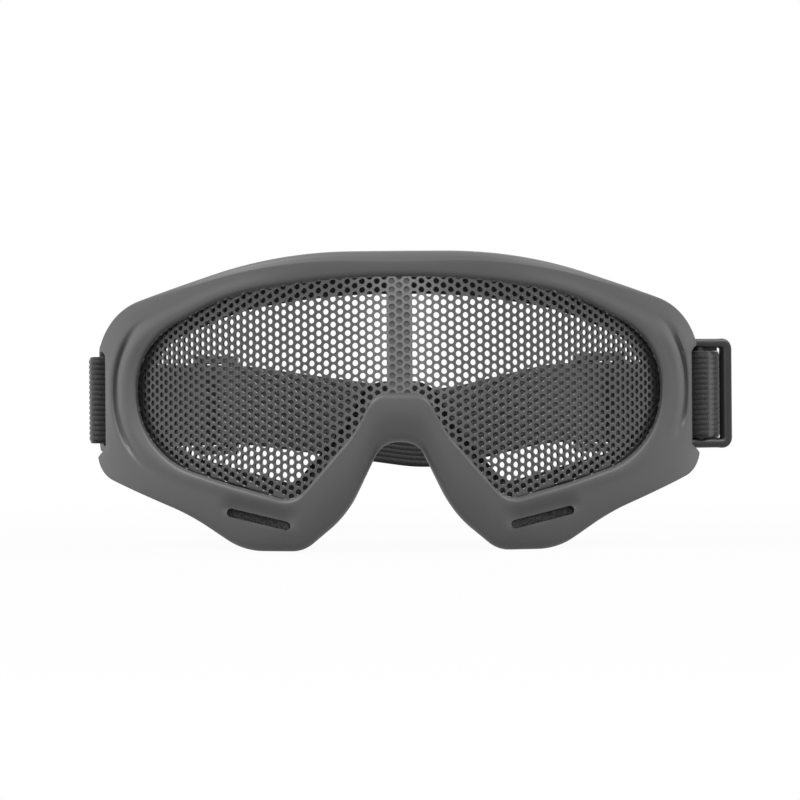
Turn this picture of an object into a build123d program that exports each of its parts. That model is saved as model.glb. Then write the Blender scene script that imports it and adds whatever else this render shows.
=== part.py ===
from build123d import *
import math
import os

# Mesh safety goggles: a wrap-round frame, a perforated steel sheet in place of a lens, a foam
# face seal, and an elastic strap on two swivelling clips.
# Millimetres. x to the right as seen from the front, y from the front to the back, z up.
# The origin is on the resting plane, in the plane of symmetry, under the sheet's foremost line.

# Driving sizes: the frame
frame_half_width = 88.3
frame_height = 82.3
frame_wall = 2.6
rim_top = 7.0
rim_side = 12.7
rim_thickness = 2.8
rim_stand_proud = 2.2
rim_edge_round = 3.0
opening_edge_round = 1.4
flange_thickness = 2.5
frame_wrap_depth = 61.4
side_edge_depth = 4.1
frame_depth_at_centre = 38.0

# Driving sizes: the perforated sheet and its seat
sheet_thickness = 0.8
sheet_groove_depth = 2.0
sheet_fit = 0.12
seat_width = 4.4
seat_depth = 6.4
hole_pitch = 5.6
hole_diameter = 4.0
hole_margin = 0.2
hole_sides = 6

# Driving sizes: the brace behind the sheet
brace_width = 7.0
brace_thickness = 1.2
brace_gap = 0.3
brace_tuck = 1.8

# Driving sizes: the face foam
lip_reach = 3.5
foam_thickness = 8.0
foam_inset = 1.6
foam_side_gap = 2.2
foam_over_table = 1.5
foam_step = 2.6
foam_step_inset = 1.3
glue_gap = 0.05

# Driving sizes: the cheek vents
vent_length = 18.2
vent_height = 2.8
vent_tilt = 12.7
vent_x = 39.1
vent_z = 9.3
vent_foam_past_end = 1.9
vent_foam_past_edge = 0.7
vent_foam_thickness = 2.0

# Driving sizes: the side notch and the clip's hinge
notch_depth = 3.0
notch_below_strap = 3.5
notch_above_strap = 0.6
notch_round = 1.5
hinge_inset = 4.3
hinge_stand = 3.9
hinge_web_width = 3.2
pin_radius = 0.9
pin_running_gap = 0.05
pin_head_radius = 1.6
pin_head_height = 0.7
pin_head_gap = 0.15
barrel_radius = 2.2
barrel_end_gap = 0.3

# Driving sizes: the clips
clip_gap_below = 0.4
clip_gap_above = 1.0
clip_arm_thickness = 2.6
clip_depth = 4.2
clip_reach = 15.5
outer_bar_width = 3.2
outer_bar_depth = 3.6
inner_bar_radius = 1.3
inner_bar_reach = 5.4
clip_corner_round = 3.0
swing_right = 20.0
swing_left = 75.0

# Driving sizes: the webbing
strap_width = 25.6
strap_thickness = 1.5
strap_height_at_clips = 42.5
strap_drop = 2.2
strap_layer_gap = 0.3
strap_bar_gap = 0.1
strap_slack_right = 0.2
strap_slack_left = 3.2
strap_sag = 9.0
strap_sag_x = 12.0
strap_sag_half_span = 50.0
strap_sag_radius = 60.0
lead_reach = 27.4
shoulder_reach = 14.0
back_reach = 54.0
strap_back_half_width = 46.0
strap_bend_radius = 30.0
wrap_end_run = 4.0
wrap_turn_right = (13.5, 4.4)
wrap_turn_left = (11.3, 3.2)
wrap_bend_radius = 2.6
turn_round_share = 0.96
tail_round_share = 0.9

# Driving sizes: the adjusters and the stitching that closes the webbing's ends
slider_length = 22.0
slider_edge_gap = 0.4
slider_bar_width = 3.0
slider_bar_thickness = 1.4
slider_rail = 2.6
slider_gap = 0.3
slider_edge_round = 0.4
slider_along = 47.0
tail_return = 9.0
tack_inset = 3.5
tack_width = 1.4
tack_thickness = 0.35
tack_spacing = 3.0

# One overrun serves all cuts
overrun = 5.0

# Places worked out from the driving sizes
rim_radius = (frame_half_width**2 + frame_wrap_depth**2) / (2 * frame_wrap_depth)
sheet_radius = rim_radius - rim_stand_proud
sheet_axis_y = sheet_radius
face_sagitta = frame_wrap_depth - rim_stand_proud + side_edge_depth - frame_depth_at_centre
face_radius = (frame_half_width**2 + face_sagitta**2) / (2 * face_sagitta)
face_axis_y = frame_depth_at_centre + face_radius
opening_half_width = frame_half_width - rim_side
opening_top = frame_height - rim_top
layer_pitch = strap_thickness + strap_layer_gap
bore_radius = pin_radius + pin_running_gap
strap_low = strap_height_at_clips - strap_width / 2
strap_high = strap_height_at_clips + strap_width / 2
loop_height = strap_height_at_clips - strap_drop
loop_low = strap_low - strap_drop
loop_high = strap_high - strap_drop
clip_low = strap_low - clip_gap_below - clip_arm_thickness
clip_high = strap_high + clip_gap_above + clip_arm_thickness
hinge_x = frame_half_width - hinge_inset
hinge_y = face_axis_y - math.sqrt(face_radius**2 - hinge_x**2) + hinge_stand
foam_half_width = hinge_x - barrel_radius - foam_side_gap
lead_end_y = hinge_y + lead_reach
strap_shoulder_y = lead_end_y + shoulder_reach
strap_back_y = strap_shoulder_y + back_reach
slider_height = strap_width + 2 * (slider_rail + slider_edge_gap)
tack_height = strap_width - 2 * tack_inset

# Corners of the outlines from the top down the +x side to the nose: shares of the half width and
# the height, and how far the rounding reaches as a share of the shorter run beside the corner
frame_outline_shares = [
    (0.369, 1.0, 0.333),
    (1.0, 0.802, 0.333),
    (1.0, 0.255, 0.185),
    (0.665, 0.118, 0.342),
    (0.493, 0.0, 0.329),
    (0.302, 0.0, 0.206),
    (0.1642, 0.124, 0.406),
    (0.056, 0.3645, 0.444),
]
opening_outline_shares = [
    (0.238, 1.0, 0.52),
    (0.615, 0.943, 0.345),
    (1.0, 0.781, 0.43),
    (1.0, 0.3466, 0.545),
    (0.3832, 0.1813, 0.172),
    (0.1627, 0.438, 0.303),
    (0.0917, 0.576, 0.26),
]


def moved_corner(before, corner, after, reach_share, out):
    """A corner moved out with both its edges, and the radius of its rounding there."""
    arriving = (corner - before).normalized()
    leaving = (after - corner).normalized()
    edge_normal = Vector(-arriving.Y, arriving.X)
    between = Vector(-arriving.Y - leaving.Y, arriving.X + leaving.X).normalized()
    half_turn = math.acos(between.dot(edge_normal))
    reach = reach_share * min((corner - before).length, (after - corner).length)
    bulges = arriving.cross(leaving).Z < 0
    radius = reach / math.tan(half_turn) + (out if bulges else -out)
    return corner + between * (out / math.cos(half_turn)), radius


def outline(shares, half_width, height, out):
    """A closed outline, the same on both sides, every corner rounded, moved out by a distance."""
    right = [Vector(half_width * x, height * z) for x, z, _ in shares]
    corners = right + [Vector(-p.X, p.Y) for p in reversed(right)]
    reach_shares = [share for _, _, share in shares]
    reach_shares = reach_shares + reach_shares[::-1]
    points = []
    radii = []
    for k, corner in enumerate(corners):
        after = corners[(k + 1) % len(corners)]
        point, radius = moved_corner(corners[k - 1], corner, after, reach_shares[k], out)
        points.append(point)
        radii.append(radius)
    return make_face(FilletPolyline(*points, radius=radii, close=True))


def frame_face(out=0):
    """The frame's outline from the front, moved out by a distance or in where it is negative."""
    return outline(frame_outline_shares, frame_half_width, frame_height, out)


def opening_face(out=0):
    """The eye opening's outline from the front, moved out or in the same way."""
    return outline(opening_outline_shares, opening_half_width, opening_top, out)


def through(face, front=-overrun, back=sheet_axis_y):
    """A face drawn in x and z, drawn out along y from front to back."""
    return Pos(0, back, 0) * (Plane.XZ * extrude(face, amount=back - front))


def drum(radius, axis_y):
    """An upright cylinder that is taller than the frame."""
    tall = frame_height + 2 * overrun
    base = Pos(0, axis_y, -overrun)
    return base * Cylinder(radius, tall, align=(Align.CENTER, Align.CENTER, Align.MIN))


def rim_edges(shape, face):
    """The edges where the rim's front surface meets the wall drawn from a face's edge."""
    border = face.face().outer_wire()

    def on_both(edge):
        middle = edge @ 0.5
        off_rim = abs(math.hypot(middle.X, middle.Y - sheet_axis_y) - rim_radius)
        off_wall = border.distance_to(Vertex(middle.X, middle.Z, 0))
        return off_rim < glue_gap and off_wall < glue_gap

    return shape.edges().filter_by(on_both)


def rounded_body():
    """The frame before it is hollowed, with the rim's outer and inner edges rounded."""
    crescent = drum(rim_radius, sheet_axis_y) - drum(face_radius, face_axis_y)
    body = through(frame_face()) & crescent
    body = fillet(rim_edges(body, frame_face()), rim_edge_round)
    body = body - front_opening()
    return fillet(rim_edges(body, opening_face()), opening_edge_round)


def frame_shell():
    """Front rim, side wall and rear flange, hollow between them."""
    body = rounded_body()
    rim_back = drum(rim_radius - rim_thickness, sheet_axis_y)
    flange_front = drum(face_radius + flange_thickness, face_axis_y)
    hollow = through(frame_face(-frame_wall)) & (rim_back - flange_front)
    return body - (hollow - lens_seat_block())


def lens_seat_block():
    """The ring behind the rim's inner edge, which holds the sheet's groove."""
    ring = through(opening_face(seat_width))
    return ring & (drum(rim_radius, sheet_axis_y) - drum(rim_radius - seat_depth, sheet_axis_y))


def front_opening():
    """The eye opening, from the front as far as the rear flange."""
    return through(opening_face()) - drum(face_radius + flange_thickness, face_axis_y)


def sheet_groove():
    """The groove round the eye opening that the sheet's edge sits in."""
    reach = through(opening_face(sheet_groove_depth + sheet_fit))
    outer = drum(sheet_radius + sheet_fit, sheet_axis_y)
    inner = drum(sheet_radius - sheet_thickness - sheet_fit, sheet_axis_y)
    return reach & (outer - inner)


def brace_box(clearance):
    """The brace's strip, or its pockets where it has a clearance."""
    low = opening_outline_shares[-1][1] * opening_top - brace_tuck - clearance
    high = opening_top + brace_tuck + clearance
    front = sheet_thickness + brace_gap - clearance
    strip = Box(
        brace_width + 2 * clearance,
        brace_thickness + 2 * clearance,
        high - low,
        align=(Align.CENTER, Align.MIN, Align.MIN),
    )
    return Pos(0, front, low) * strip


def vent_slot(side):
    """One cheek vent, a long round-ended slot that slopes down to the nose."""
    slot = SlotOverall(vent_length, vent_height)
    placed = Pos(side * vent_x, vent_z) * Rot(0, 0, side * vent_tilt) * slot
    return through(placed, -overrun, frame_depth_at_centre / 2)


def side_notch(side):
    """The step in the frame's side edge that the webbing passes."""
    width = notch_depth + overrun
    middle_x = frame_half_width - notch_depth + width / 2
    low = strap_low - notch_below_strap
    high = strap_high + notch_above_strap
    middle_z = (low + high) / 2
    cut = RectangleRounded(width, high - low, notch_round)
    return through(Pos(side * middle_x, middle_z) * cut)


def barrel_ends():
    """The lowest and highest z of the hinge barrel, between the clip's arms."""
    low = clip_low + clip_arm_thickness + barrel_end_gap
    high = clip_high - clip_arm_thickness - barrel_end_gap
    return low, high


def hinge_barrel(side):
    """The upright barrel on the rear flange that the clip's pin runs in."""
    low, high = barrel_ends()
    tall = high - low
    stand = (Align.CENTER, Align.CENTER, Align.MIN)
    tube = Pos(side * hinge_x, hinge_y, low) * Cylinder(barrel_radius, tall, align=stand)
    root_y = face_axis_y - math.sqrt(face_radius**2 - hinge_x**2) - flange_thickness / 2
    run = hinge_y - root_y
    web = Box(hinge_web_width, run, tall, align=(Align.CENTER, Align.MIN, Align.MIN))
    return tube + Pos(side * hinge_x, root_y, low) * web


def pin_bore(side):
    """The bore of one hinge barrel."""
    low, high = barrel_ends()
    tall = high - low + 2 * barrel_end_gap
    bore = Cylinder(bore_radius, tall, align=(Align.CENTER, Align.CENTER, Align.MIN))
    return Pos(side * hinge_x, hinge_y, low - barrel_end_gap) * bore


def make_frame():
    """The moulded frame, as one solid."""
    frame = frame_shell() - front_opening() - through(opening_face(-lip_reach))
    frame = frame - sheet_groove() - brace_box(sheet_fit)
    for side in (1, -1):
        frame = frame - vent_slot(side) - side_notch(side)
        frame = frame + hinge_barrel(side) - pin_bore(side)
    return frame


def sheet_holes():
    """The sheet's six-sided holes in staggered columns, even along its curve, seen from the front."""
    column_step = hole_pitch * math.sqrt(3) / 2
    inside = opening_face(-hole_margin - hole_diameter / 2).face()
    half_arc = sheet_radius * math.asin(opening_half_width / sheet_radius)
    columns = int(half_arc // column_step)
    rows = int(opening_top // hole_pitch)
    holes = []
    for column in range(-columns, columns + 1):
        turn = column * column_step / sheet_radius
        x = sheet_radius * math.sin(turn)
        shift = hole_pitch / 2 * (column % 2)
        for row in range(1, rows + 1):
            z = row * hole_pitch + shift
            if inside.is_inside((x, z, 0)):
                holes.append(Pos(x, z) * sheet_hole(turn))
    return holes


def sheet_hole(turn):
    """One hole, narrowed in the front view by the sheet's turn there."""
    radius = hole_diameter / 2
    corners = []
    for corner in range(hole_sides):
        angle = math.tau * corner / hole_sides
        corners.append((radius * math.cos(angle) * math.cos(turn), radius * math.sin(angle)))
    return make_face(Polyline(*corners, close=True))


def make_sheet():
    """The perforated sheet, bent round an upright axis."""
    net = opening_face(sheet_groove_depth) - sheet_holes()
    shell = drum(sheet_radius, sheet_axis_y) - drum(sheet_radius - sheet_thickness, sheet_axis_y)
    return through(net) & shell


def foam_layer(inset, front_radius, back_radius):
    """One layer of the face foam between two radii of the face."""
    ring = frame_face(-foam_inset - inset) - opening_face(inset - lip_reach)
    tall = frame_height - foam_over_table - inset
    wide = 2 * (foam_half_width - inset)
    window = Pos(0, foam_over_table + inset) * Rectangle(wide, tall, align=(Align.CENTER, Align.MIN))
    return through(ring & window) & (drum(front_radius, face_axis_y) - drum(back_radius, face_axis_y))


def make_face_foam():
    """The foam ring on the rear flange, drawn in towards the face."""
    middle = face_radius - foam_thickness + foam_step
    base = foam_layer(0, face_radius - glue_gap, middle)
    crown = foam_layer(foam_step_inset, middle + glue_gap, face_radius - foam_thickness)
    return base + crown


def make_vent_foam(side):
    """The foam pad behind one cheek vent."""
    long = vent_length + 2 * vent_foam_past_end
    tall = vent_height + 2 * vent_foam_past_edge
    pad = RectangleRounded(long, tall, tall / 3)
    placed = Pos(side * vent_x, vent_z) * Rot(0, 0, side * vent_tilt) * pad
    outer = rim_radius - rim_thickness - glue_gap
    shell = drum(outer, sheet_axis_y) - drum(outer - vent_foam_thickness, sheet_axis_y)
    return through(placed) & shell


def at_hinge(swing):
    """The clip's own frame on the +x side: x out along the clip, y behind it, z up."""
    return Pos(hinge_x, hinge_y, 0) * Rot(0, 0, swing)


def mirrored(shape, side):
    """The shape itself on the +x side, and its mirror image on the other."""
    return shape if side > 0 else mirror(shape, about=Plane.YZ)


def clip_side_view():
    """The clip seen square on: two arms and the outer bar, open at the hinge."""
    tall = clip_high - clip_low
    long = clip_reach + clip_depth / 2
    middle_z = (clip_low + clip_high) / 2
    sheet = Pos(clip_reach - long / 2, middle_z) * Rectangle(long, tall)
    corners = sheet.vertices().sort_by(Axis.X)[-2:]
    sheet = fillet(corners, clip_corner_round)
    window_long = long - outer_bar_width
    window = Rectangle(window_long, tall - 2 * clip_arm_thickness)
    inner_x = clip_reach - outer_bar_width - window_long / 2
    return sheet - Pos(inner_x, middle_z) * window


def clip_plan_view():
    """The clip seen from above: round at the hinge, thinner at the outer bar."""
    half = clip_depth / 2
    thin = outer_bar_depth / 2
    bar_at = clip_reach - outer_bar_width
    blade = make_face(
        Polyline((0, -half), (bar_at, -half), (clip_reach, -thin), (clip_reach, thin),
                 (bar_at, half), (0, half), close=True)
    )
    return blade + Circle(half)


def make_clip(swing, side):
    """One strap clip at its rest angle, with its inner bar and pin bores."""
    body = Pos(0, clip_depth, 0) * (Plane.XZ * extrude(clip_side_view(), amount=2 * clip_depth))
    plan = Pos(0, 0, clip_low - overrun) * extrude(clip_plan_view(), amount=clip_high + 2 * overrun)
    clip = body & plan
    tall = clip_high - clip_low
    stand = (Align.CENTER, Align.CENTER, Align.MIN)
    clip = clip + Pos(inner_bar_reach, 0, clip_low) * Cylinder(inner_bar_radius, tall, align=stand)
    clip = clip - Pos(0, 0, clip_low - overrun) * Cylinder(bore_radius, tall + 2 * overrun, align=stand)
    return mirrored(at_hinge(swing) * clip, side)


def make_pin(side):
    """One hinge pin with a flat head at each end."""
    low = clip_low - pin_head_gap
    high = clip_high + pin_head_gap
    stand = (Align.CENTER, Align.CENTER, Align.MIN)
    shank = Pos(0, 0, low) * Cylinder(pin_radius, high - low, align=stand)
    head = Cylinder(pin_head_radius, pin_head_height, align=stand)
    pin = shank + Pos(0, 0, high) * head + Pos(0, 0, low - pin_head_height) * head
    return Pos(side * hinge_x, hinge_y, 0) * pin


def band_along(points, radii, low, high):
    """Webbing on edge along a path in plan, between two heights."""
    path = FilletPolyline(*points, radius=radii)
    wire = Wire(path.edges())
    start = wire @ 0
    heading = wire % 0
    plane = Plane(origin=(start.X, start.Y, (low + high) / 2), x_dir=(0, 0, 1), z_dir=heading)
    section = plane * Rectangle(high - low, strap_thickness)
    lifted = Pos(0, 0, (low + high) / 2) * wire
    return sweep(section, path=lifted)


def back_way(swing):
    """Straight back and straight inwards, in the clip's own frame."""
    turn = math.radians(swing)
    return (math.sin(turn), math.cos(turn)), (-math.cos(turn), math.sin(turn))


def wrap_turn(swing):
    """Where the webbing turns back behind a clip, in the clip's own frame."""
    if swing == swing_right:
        return wrap_turn_right
    return wrap_turn_left


def wrap_points(swing, slack):
    """The webbing's path round the inner bar, from its outer end to its inner end."""
    back, inward = back_way(swing)
    off = inner_bar_radius + strap_bar_gap + strap_thickness / 2
    nose = inner_bar_reach - off
    turn = wrap_turn(swing)
    outer_end = (turn[0] + back[0] * wrap_end_run, turn[1] + back[1] * wrap_end_run)
    front = (inner_bar_reach + (off + slack) / 2, -off - slack)
    inner_turn = (turn[0] + inward[0] * layer_pitch, turn[1] + inward[1] * layer_pitch)
    inner_end = (outer_end[0] + inward[0] * layer_pitch, outer_end[1] + inward[1] * layer_pitch)
    rear = (inner_bar_reach + off / 2, off)
    return [outer_end, turn, front, (nose, -off - slack), (nose, off), rear, inner_turn, inner_end]


def make_wrap(swing, slack, side):
    """The webbing round one clip's inner bar, with both layers behind its outer bar."""
    off = inner_bar_radius + strap_bar_gap + strap_thickness / 2
    tight = off * turn_round_share
    radii = [wrap_bend_radius, wrap_bend_radius / 2, tight, tight, off / 2, wrap_bend_radius / 2]
    wrap = band_along(wrap_points(swing, slack), radii, strap_low, strap_high)
    return mirrored(at_hinge(swing) * wrap, side)


def in_plan(swing, point):
    """A point of the clip's own frame, in plan on the +x side."""
    turn = math.radians(swing)
    x = hinge_x + point[0] * math.cos(turn) - point[1] * math.sin(turn)
    y = hinge_y + point[0] * math.sin(turn) + point[1] * math.cos(turn)
    return x, y


def lead_x(swing):
    """How far out the outer layer of the webbing runs beside the head."""
    return in_plan(swing, wrap_points(swing, 0)[0])[0]


def make_lead(swing, side):
    """Both layers of the webbing from one clip down to where the loop stands still."""
    x, y = in_plan(swing, wrap_points(swing, 0)[0])
    view = make_face(Polyline(
        (y, strap_low), (lead_end_y, loop_low), (lead_end_y, loop_high), (y, strap_high), close=True))
    layer = Plane.YZ * extrude(view, amount=strap_thickness)
    first = side * x - strap_thickness / 2
    layers = [Pos(first - side * k * layer_pitch, 0, 0) * layer for k in (0, 1)]
    return Compound(children=layers)


def loop_points():
    """The loop's path in plan, from the left lead round the back to the right lead."""
    left = lead_x(swing_left)
    right = lead_x(swing_right)
    return [
        (-left, lead_end_y),
        (-left, strap_shoulder_y),
        (-strap_back_half_width, strap_back_y),
        (strap_back_half_width, strap_back_y),
        (right, strap_shoulder_y),
        (right, lead_end_y),
    ]


def sag_window():
    """The loop's outline from the front, which hangs lower at the back of the head."""
    far = frame_half_width + strap_width
    dip = loop_height - strap_sag
    reach = strap_sag_half_span
    line = FilletPolyline(
        (-far, loop_height), (-reach, loop_height), (strap_sag_x, dip),
        (reach, loop_height), (far, loop_height), radius=strap_sag_radius)
    lower = Wire((Pos(0, -strap_width / 2) * line).edges())
    upper = Wire((Pos(0, strap_width / 2) * line).edges())
    ends = [Line(lower @ 0, upper @ 0), Line(lower @ 1, upper @ 1)]
    face = Face(Wire(lower.edges() + upper.edges() + [end.edge() for end in ends]))
    return through(face, lead_end_y - overrun, strap_back_y + overrun)


def make_band():
    """The single layer of webbing round the back of the head."""
    band = band_along(loop_points(), strap_bend_radius, loop_low - strap_sag, loop_high + overrun)
    return band & sag_window()


def shoulder_run(swing):
    """The straight stretch behind one side's bend: its start, heading and inward normal."""
    x = lead_x(swing)
    run = Vector(strap_back_half_width - x, strap_back_y - strap_shoulder_y)
    heading = run.normalized()
    inward = Vector(-heading.Y, heading.X)
    return Vector(x, strap_shoulder_y), heading, inward


def slider_place(swing):
    """An adjuster's own frame on the +x side: x along the webbing, y inwards, z up."""
    start, heading, inward = shoulder_run(swing)
    spot = start + heading * slider_along
    return Plane(origin=(spot.X, spot.Y, 0), x_dir=(heading.X, heading.Y, 0), z_dir=(0, 0, 1))


def slider_levels():
    """How far inwards the end bars and the middle bar of an adjuster lie."""
    half = strap_thickness / 2
    outer = -half - slider_gap - slider_bar_thickness
    tail_inner = layer_pitch + half
    middle = tail_inner + strap_bar_gap
    return outer, -half - slider_gap, middle, middle + slider_bar_thickness


def turned_back_depth():
    """From the inner layer's middle to the middle of its end, turned back round the bar."""
    return slider_bar_thickness + strap_thickness + 2 * strap_bar_gap


def make_slider(swing, side):
    """An adjuster: two side rails, two bars outside the webbing and one inside it."""
    outer, outer_in, middle, inner = slider_levels()
    half = slider_length / 2
    short = slider_bar_width
    rail_face = make_face(Polyline(
        (-half, outer), (half, outer), (half, outer_in), (short, inner), (-short, inner),
        (-half, outer_in), close=True))
    rail_z = slider_height / 2 - slider_rail
    slider = Pos(0, 0, rail_z) * extrude(rail_face, amount=slider_rail)
    slider = slider + Pos(0, 0, -slider_height / 2) * extrude(rail_face, amount=slider_rail)
    bar = Box(slider_bar_width, slider_bar_thickness, slider_height - slider_rail,
              align=(Align.CENTER, Align.MIN, Align.CENTER))
    for along in (half - slider_bar_width / 2, slider_bar_width / 2 - half):
        slider = slider + Pos(along, outer, 0) * bar
    middle_bar = SlotOverall(slider_bar_width, slider_bar_thickness)
    rise = slider_height - slider_rail
    slider = slider + Pos(0, (middle + inner) / 2, -rise / 2) * extrude(middle_bar, amount=rise)
    slider = fillet(slider.edges(), slider_edge_round)
    raised = Pos(0, 0, loop_height) * slider
    return mirrored(slider_place(swing) * raised, side)


def make_tail(swing, side):
    """The inner layer from the lead to the adjuster, turned back round its middle bar."""
    start, heading, inward = shoulder_run(swing)
    back = Vector(0, 1)
    bend = (back + heading).normalized()
    miter = layer_pitch / abs(Vector(-bend.Y, bend.X).dot(Vector(-1, 0)))
    corner = start + Vector(-bend.Y, bend.X) * miter
    depth = turned_back_depth()
    past = slider_bar_width / 2 + strap_bar_gap + strap_thickness / 2
    spot = start + heading * (slider_along + past) + inward * layer_pitch
    turned = spot + inward * depth
    end = turned - heading * (past + tail_return)
    points = [(start.X - layer_pitch, lead_end_y), corner, spot, turned, end]
    plan = [(p[0], p[1]) if isinstance(p, tuple) else (p.X, p.Y) for p in points]
    tight = depth / 2 * tail_round_share
    radii = [strap_bend_radius - layer_pitch, tight, tight]
    tail = band_along(plan, radii, loop_low, loop_high)
    return mirrored(tail, side)


def make_tack(swing, side):
    """Rows of stitching through the turned-back end, on its inner face."""
    face = layer_pitch + turned_back_depth() + strap_thickness / 2 + glue_gap
    row = Box(tack_width, tack_thickness, tack_height, align=(Align.CENTER, Align.MIN, Align.CENTER))
    first = -slider_bar_width - tack_width
    rows = [Pos(first - k * tack_spacing, face, loop_height) * row for k in (0, 1)]
    return mirrored(slider_place(swing) * Compound(children=rows), side)


parts = {
    "frame": make_frame(),
    "mesh_lens": make_sheet(),
    "centre_brace": brace_box(0),
    "face_foam": make_face_foam(),
    "strap_band": make_band(),
}
sides = (("right", 1, swing_right, strap_slack_right), ("left", -1, swing_left, strap_slack_left))
for word, side, swing, slack in sides:
    parts["vent_foam_" + word] = make_vent_foam(side)
    parts["clip_" + word] = make_clip(swing, side)
    parts["hinge_pin_" + word] = make_pin(side)
    parts["strap_wrap_" + word] = make_wrap(swing, slack, side)
    parts["strap_lead_" + word] = make_lead(swing, side)
    parts["strap_tail_" + word] = make_tail(swing, side)
    parts["slider_" + word] = make_slider(swing, side)
    parts["bar_tack_" + word] = make_tack(swing, side)

os.makedirs("parts", exist_ok=True)
for name, shape in parts.items():
    export_step(shape, "parts/" + name + ".step")
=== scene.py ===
import bisect
import math
import bmesh
import bpy
from mathutils import Matrix, Vector
from mathutils.geometry import delaunay_2d_cdt


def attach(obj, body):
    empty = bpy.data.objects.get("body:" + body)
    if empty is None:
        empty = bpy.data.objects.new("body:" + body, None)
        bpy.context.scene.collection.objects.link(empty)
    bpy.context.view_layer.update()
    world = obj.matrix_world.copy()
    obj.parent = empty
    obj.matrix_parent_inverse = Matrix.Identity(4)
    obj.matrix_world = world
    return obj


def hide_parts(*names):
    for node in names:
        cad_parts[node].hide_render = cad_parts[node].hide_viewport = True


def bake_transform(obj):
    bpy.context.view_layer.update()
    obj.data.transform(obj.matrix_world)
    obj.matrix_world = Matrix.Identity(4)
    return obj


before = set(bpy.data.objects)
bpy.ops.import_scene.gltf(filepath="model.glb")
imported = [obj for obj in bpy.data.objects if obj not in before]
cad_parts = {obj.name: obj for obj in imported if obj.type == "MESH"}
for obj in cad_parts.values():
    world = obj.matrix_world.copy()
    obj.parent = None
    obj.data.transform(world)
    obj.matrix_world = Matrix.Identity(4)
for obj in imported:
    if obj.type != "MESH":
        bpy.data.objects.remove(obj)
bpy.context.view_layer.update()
mm = 0.001

# The goggles' own frame: x to the right from the front, y from front to back, z up.
# These repeat the model's sizes, in millimetres.
sheet_radius = 91.993
sheet_thickness = 0.8
frame_half_width = 88.3
frame_height = 82.3
rim_top = 7.0
rim_side = 12.7
groove_depth = 2.0
hole_pitch = 2.35
hole_diameter = 1.66
hole_sides = 14
edge_margin = 0.12
plain_border = 0.1
border_from_x = 32.0
border_below = 38.0
rim_stand_proud = 2.2
rim_thickness = 2.8
rim_edge_round = 3.0
frame_wall = 2.6
flange_thickness = 2.5
face_radius = 166.739
face_depth = 38.0
seat_width = 4.4
seat_depth = 6.4
sheet_fit = 0.12
lip_reach = 3.5
notch_depth = 3.0
notch_low = 26.2
notch_high = 55.9
notch_low_ease = 0.35
notch_high_run = 1.7

foam_inset = 1.6
foam_half_width = 79.6
foam_over_table = 1.5
foam_thickness = 8.0

vent_x = 39.1
vent_z = 9.3
vent_tilt = 12.7
vent_length = 18.2
vent_height = 2.8

hinge_x = 84.0
hinge_y = 64.605
barrel_radius = 2.2
bore_radius = 0.95
clip_low = 26.7
clip_high = 58.9
clip_arm = 2.6
clip_depth = 4.2
clip_reach = 15.5
outer_bar_width = 3.2
outer_bar_depth = 3.6
clip_corner_round = 3.0
clip_bar_round = 1.15
clip_lip_thickness = 0.9
clip_lip_spare = 0.03
clip_gap_below = 0.4
clip_gap_above = 1.0
inner_bar_radius = 1.3
inner_bar_reach = 5.4
swing = {"right": 20.0, "left": 75.0}
slack = {"right": 0.2, "left": 3.2}
side_sign = {"right": 1, "left": -1}

strap_width = 25.6
strap_thickness = 1.5
strap_height = 42.5
strap_drop = 2.2
strap_layer_gap = 0.3
strap_bar_gap = 0.1
strap_sag = 9.0
strap_sag_x = 12.0
strap_sag_half_span = 50.0
strap_sag_radius = 60.0
strap_back_half_width = 46.0
strap_bend_radius = 30.0
lead_end_y = 92.0
strap_shoulder_y = 106.0
strap_back_y = 160.0
wrap_end_run = 4.0
wrap_drop = {"right": 0.0, "left": 0.35}
wrap_turn = {"right": (13.5, 4.4), "left": (11.3, 3.2)}
wrap_bend_radius = 2.6
rib_pitch = 1.5
rib_depth = 0.26
rib_samples = 5
thread_pitch = 0.62
ribbon_step = 1.1

slider_along = 47.0
slider_bar_width = 3.0
slider_bar_thickness = 1.4
tail_return = 9.0
tack_height = 18.6
tack_width = 1.4
tack_spacing = 3.0
stitch_pitch = 0.62
thread_radius = 0.16

opening_half_width = frame_half_width - rim_side
opening_top = frame_height - rim_top
layer_pitch = strap_thickness + strap_layer_gap
loop_height = strap_height - strap_drop
wrap_off = inner_bar_radius + strap_bar_gap + strap_thickness / 2
tail_turn = slider_bar_thickness + strap_thickness + 2 * strap_bar_gap

rim_radius = sheet_radius + rim_stand_proud
face_axis_y = face_depth + face_radius

# Forms that are left to this scene, lengths in millimetres. A name that ends in _span gives where
# a change sets in and where it is complete.
sheet_edge_step, outline_step, frame_step, foam_step = 1.0, 0.35, 0.75, 1.3
cdt_inside_only, cdt_same_point = 1, 1e-5
rim_crown = 0.3
bead_rise, bead_at, bead_width, bead_span = 0.5, 1.8, 2.2, (20, 45)
ridge_rise, ridge_width = 0.8, 1.9
side_groove_depth, side_groove_width = 1.25, 0.8
strip_rise, strip_width, strip_past_groove = 0.25, 1.0, 2.0
side_span, side_top_span = (60, 72), (56, 66)
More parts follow.
